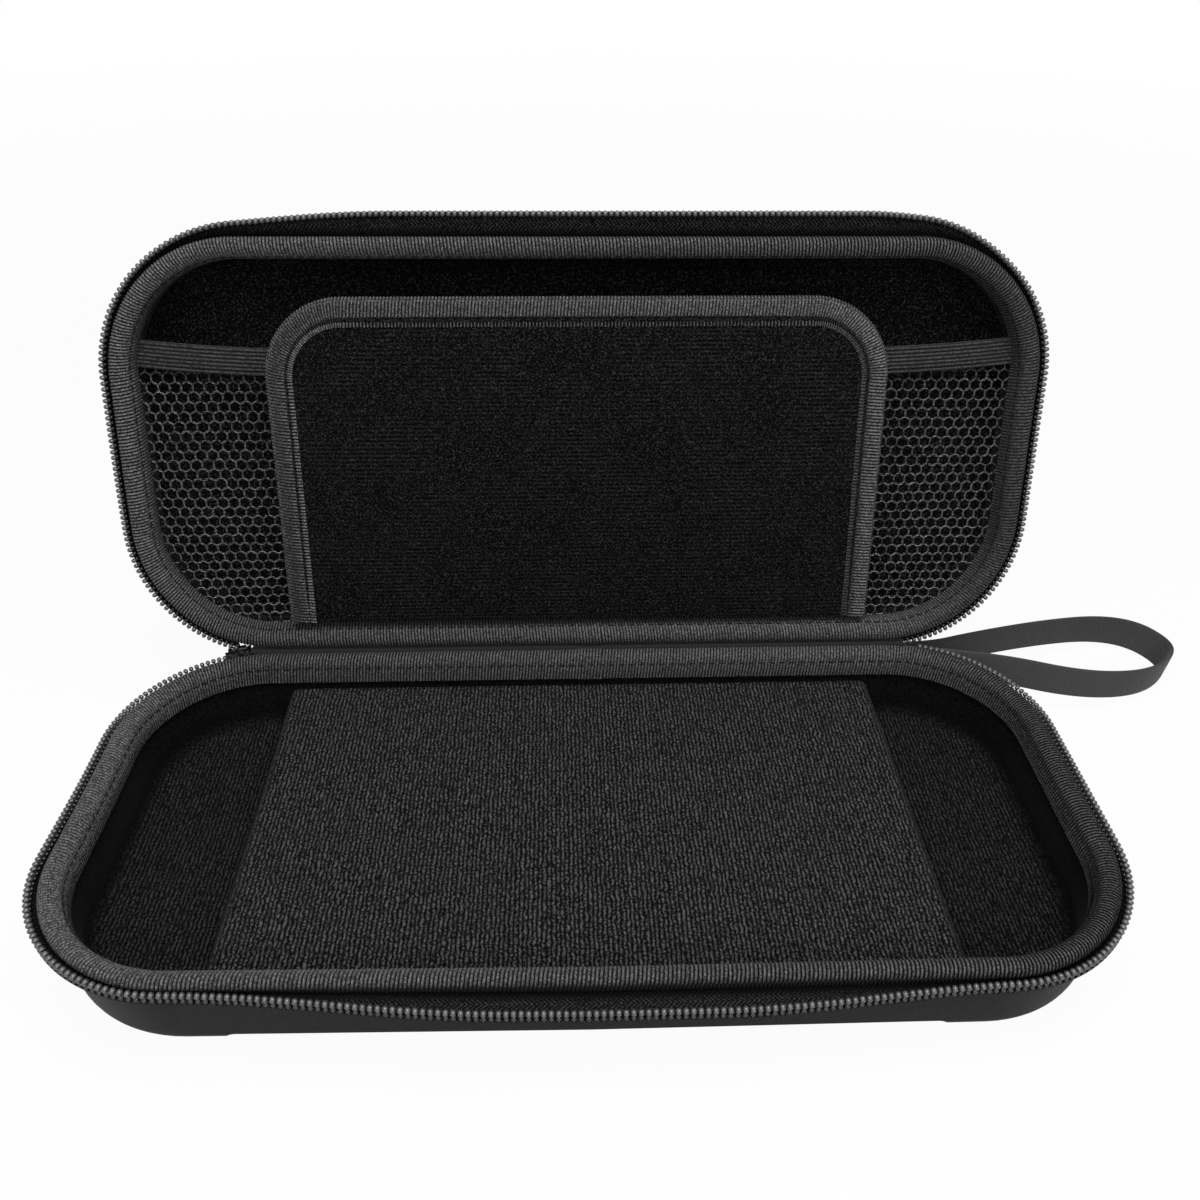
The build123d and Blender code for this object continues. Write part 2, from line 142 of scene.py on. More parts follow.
def new_cloth(name, roughness, sheen):
    """A cloth material with its fixed values set on the shader itself."""
    material = bpy.data.materials.new(name)
    material.use_nodes = True
    shader = material.node_tree.nodes["Principled BSDF"]
    shader.inputs["Roughness"].default_value = roughness
    shader.inputs["Sheen Weight"].default_value = sheen
    shader.inputs["Sheen Roughness"].default_value = 0.4
    shader.inputs["Specular IOR Level"].default_value = 0.05
    return material, material.node_tree, shader


def emboss(tree, shader, height, depth):
    """Turns a height over the surface into small relief."""
    bump = put(tree, "Bump", {"Height": height, "Distance": depth, "Strength": 1.0})
    tree.links.new(bump.outputs[0], shader.inputs["Normal"])


def woven_strip(seats, section_at):
    """A strip of cloth: a closed cross section carried along a row of seats, its runs kept as UVs."""
    steps = len(seats) - 1
    sections = [section_at(run) for run, seat in seats]
    rows = len(sections[0]) - 1
    widths = []
    for section in sections:
        lengths = [math.dist(before, after) for before, after in zip(section, section[1:])]
        widths.append(list(itertools.accumulate(lengths, initial=0.0)))
    strip = bmesh.new()
    weave = strip.loops.layers.uv.new("weave")
    bmesh.ops.create_grid(strip, x_segments=steps, y_segments=rows, size=0.5)
    marks = {}
    for vert in strip.verts:
        step = round((vert.co.x + 0.5) * steps)
        row = round((vert.co.y + 0.5) * rows)
        run, seat = seats[step]
        vert.co = seat @ Vector((0, *sections[step][row]))
        marks[vert] = (run, widths[step][row])
    for face in strip.faces:
        for loop in face.loops:
            loop[weave].uv = marks[loop.vert]
    bmesh.ops.remove_doubles(strip, verts=strip.verts, dist=1e-6)
    bmesh.ops.holes_fill(strip, edges=[edge for edge in strip.edges if edge.is_boundary], sides=0)
    bmesh.ops.recalc_face_normals(strip, faces=strip.faces)
    return strip


def new_piece(name, shape, *materials):
    """A finished piece from its shape, smooth except at its creases."""
    for edge in shape.edges:
        edge.smooth = edge.calc_face_angle(0) < math.radians(38)
    for face in shape.faces:
        face.smooth = True
    mesh = bpy.data.meshes.new(name)
    shape.to_mesh(mesh)
    shape.free()
    piece = bpy.data.objects.new(name, mesh)
    bpy.context.collection.objects.link(piece)
    for material in materials:
        mesh.materials.append(material)
    return piece


strap_curve = bpy.data.curves.new("strap_line", "CURVE")
strap_curve.dimensions = "3D"
strap_curve.resolution_u = 14
strap_spline = strap_curve.splines.new("NURBS")
strap_spline.points.add(len(strap_route) - 1)
for point, (along, back) in zip(strap_spline.points, strap_route):
    point.co = (*(strap_root + strap_along * along + strap_back * back), 1)
strap_spline.order_u = 3
strap_spline.use_endpoint_u = True
strap_guide = bpy.data.objects.new("strap_guide", strap_curve)
strap_mesh = bpy.data.meshes.new_from_object(strap_guide)
strap_line = [vert.co.copy() for vert in strap_mesh.vertices]
bpy.data.objects.remove(strap_guide)
bpy.data.meshes.remove(strap_mesh)

strap_seats = []
strap_length = 0.0
for here, before, after in zip(strap_line, strap_line[:1] + strap_line, strap_line[1:] + strap_line[-1:]):
    strap_length += (here - before).length
    heading = (after - before).normalized()
    side = strap_up.cross(heading)
    seat = Matrix((heading, side, strap_up)).transposed().to_4x4()
    seat.translation = here
    strap_seats.append((strap_length, seat))


def strap_section(run):
    """Webbing with thin rounded edges."""
    points = []
    for corner in range(17):
        turn = 2 * math.pi * corner / 16
        across = math.copysign(abs(math.sin(turn)) ** 0.25, math.sin(turn)) * strap_width / 2
        thick = math.copysign(abs(math.cos(turn)) ** 0.6, math.cos(turn)) * strap_half_thick
        points.append((thick, across))
    return points


weave_group, weave_in, weave_out = new_group(
    "plain_weave", {"Run": "Vector", "Along": "Float", "Across": "Float"}, ["Height"]
)
weave_run = put(weave_group, "SeparateXYZ", {0: weave_in["Run"]})
weave_turns = []
for number, pitch in enumerate(("Along", "Across")):
    turns = reckon(weave_group, "DIVIDE", weave_run.outputs[number], weave_in[pitch])
    weave_turns.append(reckon(weave_group, "COSINE", reckon(weave_group, "MULTIPLY", turns, 2 * math.pi)))
crossing = reckon(weave_group, "MULTIPLY", *weave_turns)
weave_group.links.new(reckon(weave_group, "MULTIPLY_ADD", crossing, 0.5, 0.5), weave_out["Height"])

webbing, tree, shader = new_cloth("webbing", 0.8, 0.15)
weave_uv = put(tree, "UVMap", {}, uv_map="weave").outputs[0]
threads = put(
    tree, "Group", {"Run": weave_uv, "Along": 0.0011, "Across": 0.0012}, node_tree=weave_group
).outputs[0]
tree.links.new(between(tree, threads, 0.05, 0.08), shader.inputs["Base Color"])
emboss(tree, shader, threads, 0.0001)

strap = new_piece("wrist_strap_webbing", woven_strip(strap_seats, strap_section), webbing)
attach(strap, "base")
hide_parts("wrist_strap")

# Each half is a shell of foam pressed between two fabrics, smooth outside and knitted inside.
# The base has a raised bed between two grip wells, and the lid is a plain tray.
opening = math.radians(hinge_joint["range_deg"][1])
case_width = rim_high[0] - rim_low[0]
case_depth = rim_high[1] - rim_low[1]
corner_r = 0.042
knit_pitch = 0.00125
# From across, away from the hinge and down from the rim, to the place of each half
base_half = Matrix(((1, 0, 0, 0), (0, -1, 0, hinge_y), (0, 0, -1, hinge_z), (0, 0, 0, 1)))
lid_half = Matrix(
    (
        (1, 0, 0, 0),
        (0, -math.cos(opening), math.sin(opening), hinge_y),
        (0, math.sin(opening), math.cos(opening), hinge_z),
        (0, 0, 0, 1),
    )
)
warp_start = 0.046
warp_reach = 0.075
warp_width = 0.125
corner_lift = {"base": 0.0027, "lid": -0.0027}


def rim_inset(x, v):
    """How far a point lies inside the outline of the rim."""
    over_x = abs(x) - (case_width / 2 - corner_r)
    over_v = abs(v - case_depth / 2) - (case_depth / 2 - corner_r)
    if over_x > 0 and over_v > 0:
        return corner_r - math.hypot(over_x, over_v)
    return corner_r - max(over_x, over_v)


def settle(shape, half, lift):
    """Both soft halves have warped: the base's left free corner stands up, and the lid's gives way."""
    to_half = half.inverted()
    for vert in shape.verts:
        across, away, deep = to_half @ vert.co
        share_x = min(1.0, max(0.0, -across / warp_width))
        share_v = min(1.0, max(0.0, (away - warp_start) / warp_reach))
        vert.co = half @ Vector((across, away, deep - lift * share_x * share_v**2 * (3 - 2 * share_v)))


fleck_group, fleck_in, fleck_out = new_group(
    "fibre_flecks", {"Place": "Vector", "Fineness": "Float", "From": "Float", "To": "Float"}, ["Fleck"]
)
fleck_noise = put(
    fleck_group, "TexNoise", {"Vector": fleck_in["Place"], "Scale": fleck_in["Fineness"], "Detail": 2.0}
)
fleck_range = put(
    fleck_group,
    "MapRange",
    {"Value": fleck_noise.outputs[0], "From Min": fleck_in["From"], "From Max": fleck_in["To"]},
)
fleck_group.links.new(fleck_range.outputs[0], fleck_out["Fleck"])


def flecks(tree, fineness, low, high):
    """Light fibres scattered over a cloth, of that many to the metre."""
    place = put(tree, "TexCoord", {}).outputs["Object"]
    values = {"Place": place, "Fineness": fineness, "From": low, "To": high}
    return put(tree, "Group", values, node_tree=fleck_group).outputs[0]


outer_fabric, tree, shader = new_cloth("outer_fabric", 0.62, 0.1)
grain = flecks(tree, 2600.0, 0.35, 0.7)
tree.links.new(between(tree, grain, 0.008, 0.018), shader.inputs["Base Color"])
emboss(tree, shader, grain, 0.00005)

# Painted shade on the knit lining: its colour is darker down in the grip wells, by height, and on walls that
# face sideways, and its ribs are painted lighter on their crests and darker in their valleys.
knit_lining, tree, shader = new_cloth("knit_lining", 0.95, 0.04)
place = put(tree, "TexCoord", {}).outputs["Object"]
knit_axes = put(tree, "SeparateXYZ", {0: place})
knit_up = put(tree, "SeparateXYZ", {0: put(tree, "NewGeometry", {}).outputs["Normal"]}).outputs[2]
knit_upturn_ribs_and_painted_shade = reckon(tree, "POWER", reckon(tree, "ABSOLUTE", knit_up), 4.0)
waver = put(tree, "TexNoise", {"Vector": place, "Scale": 420.0, "Detail": 2.0}).outputs[0]
knit_bent = reckon(tree, "MULTIPLY_ADD", waver, knit_pitch * 1.2, knit_axes.outputs[0])
knit_rib = reckon(tree, "COSINE", reckon(tree, "MULTIPLY", knit_bent, 2 * math.pi / knit_pitch))
knit_rib_relief_and_painted_shade = reckon(tree, "MULTIPLY_ADD", reckon(tree, "MULTIPLY", knit_rib, knit_upturn_ribs_and_painted_shade), 0.5, 0.5)
knit_loops = reckon(tree, "MULTIPLY_ADD", flecks(tree, 1500.0, 0.4, 0.64), 0.95, 0.05)
knit_painted_well_shade = put(
    tree,
    "MapRange",
    {"Value": knit_axes.outputs[2], "From Min": 0.005, "From Max": 0.017, "To Min": 0.4, "To Max": 1.0},
).outputs[0]
knit_painted_shade = reckon(tree, "MULTIPLY", reckon(tree, "MULTIPLY_ADD", knit_upturn_ribs_and_painted_shade, 0.85, 0.15), knit_painted_well_shade)
knit_tone_and_painted_shade = reckon(tree, "MULTIPLY", reckon(tree, "MULTIPLY", knit_rib_relief_and_painted_shade, knit_loops), knit_painted_shade)
tree.links.new(between(tree, knit_tone_and_painted_shade, 0.001, 0.115), shader.inputs["Base Color"])
emboss(tree, shader, knit_rib_relief_and_painted_shade, 0.0003)

lid_lining, tree, shader = new_cloth("lid_lining", 0.95, 0.1)
pile = flecks(tree, 1500.0, 0.52, 0.8)
tree.links.new(between(tree, pile, 0.0015, 0.05), shader.inputs["Base Color"])
emboss(tree, shader, pile, 0.0002)

for node, body, half, lining in (
    ("base_shell", "base", base_half, knit_lining),
    ("lid_shell", "lid", lid_half, lid_lining),
):
    shell = bmesh.new()
    shell.from_mesh(frame["nodes"][node].data)
    bmesh.ops.remove_doubles(shell, verts=shell.verts, dist=1e-6)
    to_half = half.inverted()
    for face in shell.faces:
        across, away, deep = to_half @ face.calc_center_median()
        facing = to_half.to_3x3() @ face.normal
        inwards = across * facing.x + (away - case_depth / 2) * facing.y < 0
        inset = rim_inset(across, away)
        inside = facing.z < 0.2 and (inwards or inset > 0.012 or (inset > 0.005 and facing.z < -0.5))
        face.material_index = int(inside)
    for number in range(6):
        bmesh.ops.bisect_plane(
            shell,
            geom=[*shell.verts, *shell.edges, *shell.faces],
            plane_co=(-number * 0.025, 0, 0),
            plane_no=(1, 0, 0),
        )
        bmesh.ops.bisect_plane(
            shell,
            geom=[*shell.verts, *shell.edges, *shell.faces],
            plane_co=half @ Vector((0, warp_start + warp_reach * number / 5, 0)),
            plane_no=half.to_3x3() @ Vector((0, 1, 0)),
        )
    settle(shell, half, corner_lift[body])
    shell_piece = new_piece(node + "_fabric", shell, outer_fabric, lining)
    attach(shell_piece, body)
    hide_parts(node)

# The rim of each half is bound with ribbed tape, folded over the cut edge of the shell.
# A row of stitches near its inner edge holds it, and its ends lap at the middle of the hinge side.
roll_crest = 0.0021
roll_top = 0.00045
roll_width = 0.0066
outer_fall = 0.0023
inner_fall = 0.0052
skirt_depth = 0.006
skirt_tuck = 0.0011
flange_depth = 0.009
tape_thick = 0.0008
rib_pitch = 0.00105
rib_relief = 0.00018
rib_twist = 0.1
stitch_step = 15.5
stitch_pitch = 0.0034
stitch_half = (0.00125, 0.00024, 0.00024)
lap_length = 0.007
lap_rise = 0.00026
rim_length = 2 * (case_width + case_depth) - 8 * corner_r + 2 * math.pi * corner_r


def edge_seat(run, width, depth, radius):
    """A seat on a rounded outline, at a run from the middle of its hinge side: along, outwards, down."""
    straight = width / 2 - radius
    side = depth - 2 * radius
    bend = radius * math.pi / 2
    x = v = heading = 0.0
    lengths = (straight, bend, side, bend, 2 * straight, bend, side, bend, 2 * straight)
    for number, length in enumerate(lengths):
        step = min(run, length)
        if number % 2:
            turned = heading + step / radius
            x += radius * (math.sin(turned) - math.sin(heading))
            v += radius * (math.cos(heading) - math.cos(turned))
            heading = turned
        else:
            x += step * math.cos(heading)
            v += step * math.sin(heading)
        run -= step
        if run <= 0:
            break
    along = Vector((math.cos(heading), math.sin(heading), 0))
    out = Vector((math.sin(heading), -math.cos(heading), 0))
    seat = Matrix((along, out, Vector((0, 0, 1)))).transposed().to_4x4()
    seat.translation = (x, v, 0)
    return seat


def rim_seats(half, start, end, step, outline):
    """A row of seats along an outline of one half."""
    count = round((end - start) / step)
    runs = [start + (end - start) * number / count for number in range(count + 1)]
    return [(run, half @ edge_seat(run, *outline)) for run in runs]


def roll_face(step, swell):
    """A point on the face of the folded tape, from its outer skirt over the crest to its inner flange."""
    if step < 2:
        tuck = skirt_tuck * (1 - (step / 2) ** 2)
        return (swell - tuck, skirt_depth + (roll_top + outer_fall - skirt_depth) * math.sqrt(step / 2))
    if step < 8:
        turn = math.pi / 2 * (step - 2) / 6
        return (
            (roll_crest + swell) * math.cos(turn) - roll_crest,
            roll_top + outer_fall - (outer_fall + swell) * math.sin(turn),
        )
    if step < 17:
        turn = math.pi / 2 * (step - 8) / 10
        across = roll_width - 0.0002 - roll_crest
        return (
            -roll_crest - (across + swell) * math.sin(turn),
            roll_top + inner_fall - (inner_fall + swell) * math.cos(turn),
        )
    share = (step - 16) / 4
    start = roll_face(16, swell)
    return (start[0] + (-roll_width - swell - start[0]) * share, start[1] + (flange_depth - start[1]) * share)


def roll_section(run):
    """The folded tape: a ribbed roll over the rim that slopes inwards, with a sewn furrow on the slope."""
    lap = lap_rise * min(1.0, max(0.0, (run - rim_length + 0.004) / 0.004))
    points = []
    for step in range(21):
        rib = rib_relief * math.cos(2 * math.pi * (run + rib_twist * step * 0.0006) / rib_pitch)
        furrow = 0.0006 * math.exp(-(((step - stitch_step) / 0.8) ** 2))
        points.append(roll_face(step, rib + lap - furrow))
    points.append((tape_thick - roll_width, flange_depth))
    points.append((tape_thick - roll_width, roll_top + inner_fall + 0.001))
    points.append((-roll_crest, 0.0025))
    points.append((-tape_thick - skirt_tuck, 0.0035))
    points.append((-tape_thick - skirt_tuck, skirt_depth))
    points.append(points[0])
    return points


def lay_beads(seats, half_sizes, sides=6, rings=4):
    """A row of small rounded beads, one on each seat, each of a few faces."""
    bead = bmesh.new()
    bmesh.ops.create_uvsphere(bead, u_segments=sides, v_segments=rings, radius=1.0)
    bead_mesh = bpy.data.meshes.new("bead")
    bead.to_mesh(bead_mesh)
    bead.free()
    row = bmesh.new()
    size = Matrix.Diagonal((*half_sizes, 1))
    for seat in seats:
        bead_mesh.transform(seat @ size)
        row.from_mesh(bead_mesh)
        bead_mesh.transform((seat @ size).inverted())
    bpy.data.meshes.remove(bead_mesh)
    bmesh.ops.recalc_face_normals(row, faces=row.faces)
    return row


# Painted shade on the binding tape, also used for the flap's hem: its ribs are painted lighter on their
# crests and darker in their valleys, and its first few millimetres, the skirt tucked under the roll, are
# painted darker as shade.
binding_tape, tree, shader = new_cloth("binding_tape", 0.75, 0.08)
weave_uv = put(tree, "UVMap", {}, uv_map="weave").outputs[0]
tape_axes = put(tree, "SeparateXYZ", {0: weave_uv})
tape_run = reckon(tree, "MULTIPLY_ADD", tape_axes.outputs[1], rib_twist, tape_axes.outputs[0])
tape_rib = reckon(tree, "COSINE", reckon(tree, "MULTIPLY", tape_run, 2 * math.pi / rib_pitch))
tape_painted_rib_shade = reckon(tree, "MULTIPLY_ADD", tape_rib, 0.5, 0.5)
tape_threads = put(
    tree, "Group", {"Run": weave_uv, "Along": rib_pitch / 2, "Across": 0.0006}, node_tree=weave_group
).outputs[0]
tape_grain = reckon(tree, "MULTIPLY_ADD", tape_threads, 0.5, flecks(tree, 2000.0, 0.4, 0.68))
tape_painted_tuck_shade = put(
    tree,
    "MapRange",
    {"Value": tape_axes.outputs[1], "From Min": 0.003, "From Max": 0.0048, "To Min": 0.1, "To Max": 1.0},
).outputs[0]
tape_grain_and_painted_shade = reckon(tree, "MULTIPLY", reckon(tree, "MULTIPLY", tape_painted_rib_shade, tape_grain), tape_painted_tuck_shade)
tree.links.new(between(tree, tape_grain_and_painted_shade, 0.001, 0.2), shader.inputs["Base Color"])
emboss(tree, shader, tape_threads, 0.00004)

sewing_thread, tree, shader = new_cloth("sewing_thread", 0.45, 0.1)
thread_grain = flecks(tree, 4000.0, 0.3, 0.7)
tree.links.new(between(tree, thread_grain, 0.004, 0.02), shader.inputs["Base Color"])

case_outline = (case_width, case_depth, corner_r)
for body, half in (("base", base_half), ("lid", lid_half)):
    seats = rim_seats(half, 0.0, rim_length + lap_length, rib_pitch / 4, case_outline)
    tape = woven_strip(seats, roll_section)
    settle(tape, half, corner_lift[body])
    binding = new_piece(body + "_binding_tape", tape, binding_tape)
    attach(binding, body)
    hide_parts(body + "_binding")

    stitch_place = Matrix.Translation((0, *roll_face(stitch_step, -0.0002)))
    stitch_rows = rim_seats(half, 0.0, rim_length, stitch_pitch, case_outline)
    stitch_seats = [seat @ stitch_place for run, seat in stitch_rows]
    sewing = lay_beads(stitch_seats, stitch_half)
    settle(sewing, half, corner_lift[body])
    stitching = new_piece(body + "_binding_stitches", sewing, sewing_thread)
    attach(stitching, body)

# Each half of the zip is a herringbone tape sewn under the binding, with a nylon coil on its free edge.
# It starts past the ends of the hinge and stands out in a slack swell along the middle of the free side.
zip_out = 0.0022
zip_in = -0.0013
zip_lift = {"base": 0.0040, "lid": -0.0027}
swell_end = case_width / 2 - corner_r
zip_depth = 0.0043
zip_drop = 0.0018
zip_thick = 0.0006
zip_cord = 0.0005
zip_edge = 0.0006
tooth_pitch = 0.00178
tooth_sides = 8
tooth_rings = 6
tooth_half = (0.0008, 0.001, 0.00078)
crown_depth = 0.0023
leg_depth = 0.0041
leg_inset = 0.0002


def zip_slack(run, swell):
    """How far the zip stands off the rim at a run, beyond its usual place."""
    place = rim_length / 2 - run
    if place > swell[1]:
        share = (swell[0] - place) / (swell[0] - swell[1])
    else:
        share = (place - swell[3]) / (swell[2] - swell[3])
    return swell[4] * (0.5 - 0.5 * math.cos(math.pi * min(1.0, max(0.0, share))))


def zip_tape_section(free):
    """A thin tape that rises from under the binding to the coil, with a cord woven in beside the coil."""
    points = []
    for number in range(13):
        share = number / 12
        cord = zip_cord if number == 10 else 0.0
        points.append((zip_in + (free - zip_in) * share, zip_depth + zip_drop * (1 - share) ** 2 - cord))
    points.append((free, zip_depth + zip_thick))
    points.append((zip_in, zip_depth + zip_drop + zip_thick))
    points.append(points[0])
    return points


herringbone, tree, shader = new_cloth("zip_tape", 0.8, 0.05)
weave_uv = put(tree, "UVMap", {}, uv_map="weave").outputs[0]
zip_axes = put(tree, "SeparateXYZ", {0: weave_uv})
zip_fold = reckon(tree, "PINGPONG", zip_axes.outputs[1], 0.0016)
zip_slant = reckon(tree, "ADD", zip_axes.outputs[0], zip_fold)
zip_twill = reckon(tree, "COSINE", reckon(tree, "MULTIPLY", zip_slant, 2 * math.pi / 0.0012))
zip_raised = reckon(tree, "MULTIPLY_ADD", zip_twill, 0.5, 0.5)
# Painted shadow: the zip tape is painted darker along its inner edge, where it runs under the roll of the
# binding.
zip_shadow = put(
    tree,
    "MapRange",
    {"Value": zip_axes.outputs[1], "From Min": 0.002, "From Max": 0.0045, "To Min": 0.1, "To Max": 1.0},
).outputs[0]
zip_fuzz_and_painted_shadow = reckon(tree, "MULTIPLY", flecks(tree, 1700.0, 0.34, 0.7), zip_shadow)
zip_twill_and_painted_shadow = reckon(tree, "MULTIPLY", zip_raised, zip_fuzz_and_painted_shadow)
tree.links.new(between(tree, zip_twill_and_painted_shadow, 0.001, 0.06), shader.inputs["Base Color"])
emboss(tree, shader, zip_raised, 0.0001)

# Painted light on the coil: one nylon is made as two copies, a lighter and glossier one on the upper row of
# beads as painted highlight and a darker one on the lower row as painted shade.
coil_nylon_leg_painted_shade, tree, shader = new_cloth("coil_nylon_leg_painted_shade", 0.2, 0.0)
shader.inputs["Specular IOR Level"].default_value = 0.6
coil_scuff = flecks(tree, 900.0, 0.3, 0.7)
tree.links.new(between(tree, coil_scuff, 0.004, 0.014), shader.inputs["Base Color"])

coil_crown_painted_highlight, tree, shader = new_cloth("coil_crown_painted_highlight", 0.22, 0.0)
shader.inputs["Specular IOR Level"].default_value = 0.9
crown_painted_highlight = flecks(tree, 900.0, 0.3, 0.7)
tree.links.new(between(tree, crown_painted_highlight, 0.025, 0.075), shader.inputs["Base Color"])

for body, half, ends, swell in (
    ("base", base_half, (18, 8), (0.112, 0.030, -0.020, -0.103, 0.0054)),
    ("lid", lid_half, (11, 18), (0.136, 0.085, -0.055, -0.136, 0.0043)),
):
    zip_from = swell_end + corner_r * math.radians(ends[0])
    zip_to = rim_length - swell_end - corner_r * math.radians(ends[1])
    seats = rim_seats(half, zip_from, zip_to, tooth_pitch / 2, case_outline)
    cloth = woven_strip(seats, lambda run: zip_tape_section(zip_out + zip_edge + zip_slack(run, swell)))
    settle(cloth, half, zip_lift[body])
    zip_tape = new_piece(body + "_zip_tape_cloth", cloth, herringbone)
    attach(zip_tape, body)
    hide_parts(body + "_zip_tape")

    teeth = []
    for run, seat in rim_seats(half, zip_from, zip_to, tooth_pitch, case_outline):
        out = zip_out + zip_slack(run, swell)
        teeth.append(seat @ Matrix.Translation((0, out, crown_depth)))
        teeth.append(seat @ Matrix.Translation((0, out - leg_inset, leg_depth)))
    coil = lay_beads(teeth, tooth_half, tooth_sides, tooth_rings)
    # The upper bead of each tooth takes the painted highlight, the lower bead the painted shade.
    for number, face in enumerate(coil.faces):
        face.material_index = number // (tooth_sides * tooth_rings) % 2
    settle(coil, half, zip_lift[body])
    coil_piece = new_piece(body + "_zip_teeth", coil, coil_crown_painted_highlight, coil_nylon_leg_painted_shade)
    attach(coil_piece, body)
    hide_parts(body + "_zip_coil")

# A strip of plain fabric folds into the wedge behind the two rims and joins the halves.
# It is sewn to both bindings. On the real case it bends as the lid closes; here it is shaped for the open lid
# only.
strip_low, strip_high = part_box("hinge_strip")
strip_stand = 0.0007
strip_leg = 0.005
strip_ease = 0.0026
strip_half_thick = 0.0004
fold_axis = Vector((math.cos(opening / 2), -math.sin(opening / 2)))


def fold_over(point):
    """The place on the lid's side of the fold that matches one on the base's side."""
    return 2 * point.dot(fold_axis) * fold_axis - point


def hinge_section(run):
    """The folded strip from the base's leg round to the lid's, as a thin closed outline."""
    root = Vector((strip_stand, -strip_leg))
    ease = Vector((strip_stand, -strip_ease))
    fold = Vector((strip_stand, -strip_stand * math.tan(opening / 2)))
    line = [root]
    for step in range(11):
        share = step / 10
        line.append(
            ease * (1 - share) ** 2 + fold * 2 * share * (1 - share) + fold_over(ease) * share**2
        )
    line.append(fold_over(root))
    front = []
    back = []
    for before, here, after in zip(line[:1] + line, line, line[1:] + line[-1:]):
        side = (after - before).normalized().orthogonal() * strip_half_thick
        front.append(tuple(here + side))
        back.append(tuple(here - side))
    return front + back[::-1] + front[:1]


hinge_fabric, tree, shader = new_cloth("hinge_fabric", 0.85, 0.2)
weave_uv = put(tree, "UVMap", {}, uv_map="weave").outputs[0]
hinge_threads = put(
    tree, "Group", {"Run": weave_uv, "Along": 0.0012, "Across": 0.0012}, node_tree=weave_group
).outputs[0]
tree.links.new(between(tree, hinge_threads, 0.012, 0.035), shader.inputs["Base Color"])
emboss(tree, shader, hinge_threads, 0.0001)

strip_left = strip_low[0] - 0.0095
strip_right = strip_high[0] + 0.014
strip_seats = []
for step in range(49):
    run = strip_left + (strip_right - strip_left) * step / 48
    strip_seats.append((run, Matrix.Translation((run, hinge_y, hinge_z))))
hinge_cloth = new_piece("hinge_cloth", woven_strip(strip_seats, hinge_section), hinge_fabric)
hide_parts("hinge_strip")
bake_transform(hinge_cloth)

# The lid's pocket is an open hexagonal net of shiny strands, held under the binding on three sides.
# It hangs a little slack between the binding and the elastic.
net_pitch = 0.0036
net_strand = 0.0003
net_depth = 0.0095
net_top = 0.0955
net_inset = 0.0057


def net_slack(x, v):
    """How far the net stands in or out of its plane."""
    broad = noise.noise(Vector((x * 32, v * 40, 0.3)))
    small = noise.noise(Vector((x * 90, v * 70, 4.0)))
    return 0.0016 * broad + 0.0006 * small


net = bmesh.new()
net_rise = net_pitch * math.sqrt(3) / 2
net_columns = int(case_width / 2 / net_pitch) + 1
for row in range(int(net_top / net_rise) + 1):
    for column in range(-net_columns, net_columns + 1):
        x = net_pitch * (column + 0.5 * (row % 2))
        v = net_top - net_rise * row
        if rim_inset(x, v) > net_inset:
            cell_place = Matrix.Translation((x, v, 0)) @ Matrix.Rotation(math.pi / 6, 4, "Z")
            bmesh.ops.create_circle(
                net, cap_ends=True, segments=6, radius=net_pitch / math.sqrt(3), matrix=cell_place
            )
bmesh.ops.remove_doubles(net, verts=net.verts, dist=net_pitch / 20)
for vert in net.verts:
    short = net_inset - rim_inset(vert.co.x, vert.co.y)
    if short > 0:
        vert.co.x -= math.copysign(short, vert.co.x)
    vert.co.z = net_depth + net_slack(vert.co.x, vert.co.y)
bmesh.ops.wireframe(net, faces=net.faces, thickness=net_strand, use_replace=True, use_boundary=True)
bmesh.ops.transform(net, matrix=lid_half, verts=net.verts)
settle(net, lid_half, corner_lift["lid"])
bmesh.ops.recalc_face_normals(net, faces=net.faces)

net_knit, tree, shader = new_cloth("net_knit", 0.2, 0.0)
shader.inputs["Specular IOR Level"].default_value = 0.9
net_twist = flecks(tree, 1200.0, 0.35, 0.65)
tree.links.new(between(tree, net_twist, 0.004, 0.13), shader.inputs["Base Color"])
emboss(tree, shader, net_twist, 0.0001)

net_piece = new_piece("pocket_net", net, net_knit)
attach(net_piece, "lid")
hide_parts("mesh_pocket")

# A ribbed elastic gathers the mouth of the pocket and is sewn to the net with a zigzag.
# Its ends are caught under the binding at both sides of the lid.
elastic_low = 0.0930
elastic_high = 0.1014
elastic_front = 0.00755
elastic_back = 0.00905
elastic_half = case_width / 2 - 0.0069
elastic_sag = 0.0040
elastic_ribs = 7
zigzag_share = 0.17
zigzag_pitch = 0.0011


def elastic_drop(x):
    """How far the stretched elastic has sunk at a distance from the middle."""
    return elastic_sag * (1 - (x / elastic_half) ** 4)


def elastic_section(run):
    """A band with long ribs on its face and a flat channel above its sewn edge."""
    drop = elastic_drop(run)
    points = []
    for step in range(43):
        share = step / 42
        rib = 0.0007 * abs(math.sin(math.pi * share * elastic_ribs))
        channel = 0.0002 * math.exp(-(((share - 0.36) / 0.06) ** 2))
        height = elastic_low + (elastic_high - elastic_low) * share
        points.append((height - drop, elastic_front + 0.0005 - rib + channel))
    points.append((elastic_high - drop, elastic_back))
    points.append((elastic_low - drop, elastic_back))
    points.append(points[0])
    return points


elastic_rubber, tree, shader = new_cloth("ribbed_elastic", 0.6, 0.2)
weave_uv = put(tree, "UVMap", {}, uv_map="weave").outputs[0]
elastic_threads = put(
    tree, "Group", {"Run": weave_uv, "Along": 0.0009, "Across": 0.0006}, node_tree=weave_group
).outputs[0]
elastic_line = elastic_section(0.0)[:43]
elastic_steps = [math.dist(before, after) for before, after in zip(elastic_line, elastic_line[1:])]
rib_length = sum(elastic_steps) / elastic_ribs
